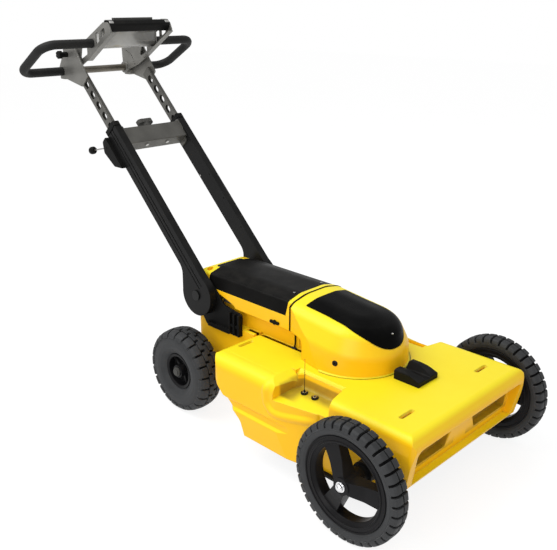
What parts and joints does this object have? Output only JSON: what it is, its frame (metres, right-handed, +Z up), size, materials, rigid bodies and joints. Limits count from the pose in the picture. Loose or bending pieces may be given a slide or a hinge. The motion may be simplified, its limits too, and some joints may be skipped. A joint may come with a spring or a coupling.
{
  "type": "ground penetrating radar cart",
  "caption": "Hand-pushed survey cart with a moulded body over a flat radar antenna, spoked front wheels, fat rear wheels, lift-off battery box and folding telescopic handle with tilting tray.",
  "frame": {"origin": "on the ground, under the middle of the overall box", "axes": "+X forward, +Y to the pusher's left, +Z up"},
  "size_m": [1.645, 0.755, 1.171],
  "materials": {
    "yellow": "satin moulded",
    "black_panel": "smooth",
    "black_plastic": "fine grain",
    "black_arm": "black anodised",
    "grey_plastic": "matte",
    "grey_metal": "bead blasted",
    "light_metal": "brushed",
    "bare_tube": "drawn",
    "grip_rubber": "soft",
    "steel": "bright",
    "chrome": "polished",
    "nickel": "plated",
    "brass": "bright",
    "tyre": "dull",
    "dark_rim": "satin",
    "bush": "smooth"
  },
  "bodies": {
    "chassis": {"deck_shell": "yellow", "rear_tub": "yellow", "nose_cover": "yellow", "nose_panel": "black_panel", "antenna_box": "grey_plastic", "wear_plate": "black_plastic", "control_unit": "grey_plastic", "handle_saddle": "black_plastic", "pocket_connectors": "nickel", "front_axle": "steel", "axle_bosses": "black_plastic", "front_hub_nuts": "chrome", "rear_axle": "steel", "rear_hub_caps": "grey_plastic", "fold_bracket_right": "black_plastic", "fold_bracket_left": "black_plastic", "fold_pins": "steel", "battery_contacts": "brass", "nose_screws": "steel"},
    "battery": {"battery_case": "yellow", "battery_cells": "grey_plastic", "battery_lid": "black_panel", "lid_screws": "steel"},
    "catch": {"battery_catch": "black_plastic"},
    "arms": {"arm_right": "black_arm", "arm_left": "black_arm", "collar_right": "black_plastic", "collar_left": "black_plastic", "lever_housing": "black_plastic", "cross_brace": "grey_metal", "brace_screws": "steel"},
    "clamp": {"clamp_knob": "black_plastic"},
    "lever": {"release_lever": "steel", "lever_grip": "black_plastic"},
    "extension": {"bar_right": "grey_metal", "bar_left": "grey_metal", "head_plate_right": "grey_metal", "head_plate_left": "grey_metal"},
    "loop": {"handlebar": "bare_tube", "grip_sleeve": "grip_rubber", "cheek_right": "grey_metal", "cheek_left": "grey_metal", "tray_plate_front": "grey_metal", "tray_plate_rear": "light_metal", "tray_bar": "black_plastic", "tray_lip": "grey_plastic"},
    "knob_right": {"tilt_knob_right": "black_plastic"},
    "knob_left": {"tilt_knob_left": "black_plastic"},
    "front_wheel_right": {"front_tyre_right": "tyre", "front_rim_right": "dark_rim", "front_bush_right": "bush"},
    "front_wheel_left": {"front_tyre_left": "tyre", "front_rim_left": "dark_rim", "front_bush_left": "bush"},
    "rear_wheel_right": {"rear_tyre_right": "tyre", "rear_rim_right": "dark_rim"},
    "rear_wheel_left": {"rear_tyre_left": "tyre", "rear_rim_left": "dark_rim"}
  },
  "joints": [
    {"name": "front_wheel_right_spin", "type": "hinge", "parent": "chassis", "child": "front_wheel_right", "pos_m": [0.6675, -0.332, 0.155], "axis": [0, 1, 0], "continuous": true},
    {"name": "front_wheel_left_spin", "type": "hinge", "parent": "chassis", "child": "front_wheel_left", "pos_m": [0.6675, 0.332, 0.155], "axis": [0, 1, 0], "continuous": true},
    {"name": "rear_wheel_right_spin", "type": "hinge", "parent": "chassis", "child": "rear_wheel_right", "pos_m": [-0.0935, -0.206, 0.132], "axis": [0, 1, 0], "continuous": true},
    {"name": "rear_wheel_left_spin", "type": "hinge", "parent": "chassis", "child": "rear_wheel_left", "pos_m": [-0.0935, 0.206, 0.132], "axis": [0, 1, 0], "continuous": true},
    {"name": "handle_fold", "type": "hinge", "parent": "chassis", "child": "arms", "pos_m": [-0.1085, 0, 0.355], "axis": [0, 1, 0], "range_deg": [0, 114]},
    {"name": "handle_extend", "type": "slide", "parent": "arms", "child": "extension", "axis": [-0.7071, 0, 0.7071], "range_m": [-0.12, 0.05]},
    {"name": "handlebar_tilt", "type": "hinge", "parent": "extension", "child": "loop", "pos_m": [-0.8025, 0, 0.992], "axis": [0, -1, 0], "range_deg": [-25, 40]},
    {"name": "clamp_knob_turn", "type": "hinge", "parent": "arms", "child": "clamp", "pos_m": [-0.523, 0, 0.818], "axis": [-0.7071, 0, 0.7071], "range_deg": [-180, 180]},
    {"name": "fold_release", "type": "hinge", "parent": "arms", "child": "lever", "pos_m": [-0.5337, -0.1349, 0.7622], "axis": [0, 1, 0], "range_deg": [0, 16], "stiffness_Nm_per_rad": 0.4, "springref_deg": -11.46},
    {"name": "tilt_knob_right_turn", "type": "hinge", "parent": "extension", "child": "knob_right", "pos_m": [-0.7655, -0.1575, 1.05], "axis": [0, 1, 0], "range_deg": [-180, 180]},
    {"name": "tilt_knob_left_turn", "type": "hinge", "parent": "extension", "child": "knob_left", "pos_m": [-0.7655, 0.1575, 1.05], "axis": [0, 1, 0], "range_deg": [-180, 180]},
    {"name": "battery_lift", "type": "slide", "parent": "chassis", "child": "battery", "axis": [0, 0, 1], "range_m": [0, 0.12]},
    {"name": "battery_catch_swing", "type": "hinge", "parent": "battery", "child": "catch", "pos_m": [0.2015, -0.11, 0.349], "axis": [0, 1, 0], "range_deg": [0, 90]}
  ]
}
